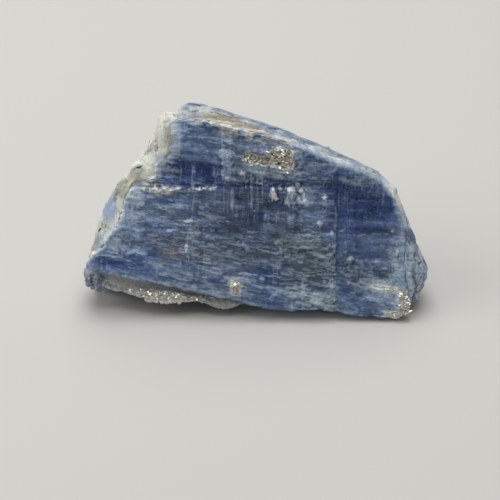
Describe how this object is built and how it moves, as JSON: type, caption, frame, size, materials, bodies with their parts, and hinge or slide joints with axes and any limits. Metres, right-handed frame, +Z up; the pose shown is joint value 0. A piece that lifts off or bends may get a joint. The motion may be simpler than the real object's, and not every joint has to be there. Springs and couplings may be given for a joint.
{
  "type": "kyanite blade cluster",
  "caption": "Leaning lump of blue kyanite: flat blades grown side by side, a broad streaked face, a pale broken rim and a mica pocket, standing on its long broken edge.",
  "frame": {"origin": "middle of the bounding box on X and Y, on the floor the lump stands on", "axes": "+X along the lump's length, towards its low right-hand end; +Y away from the viewer of the broad face; +Z up"},
  "size_m": [0.082, 0.0326, 0.0459],
  "materials": {
    "kyanite": "broken crystal, silky"
  },
  "bodies": {
    "root": {"kyanite_blades": "kyanite"}
  },
  "joints": []
}
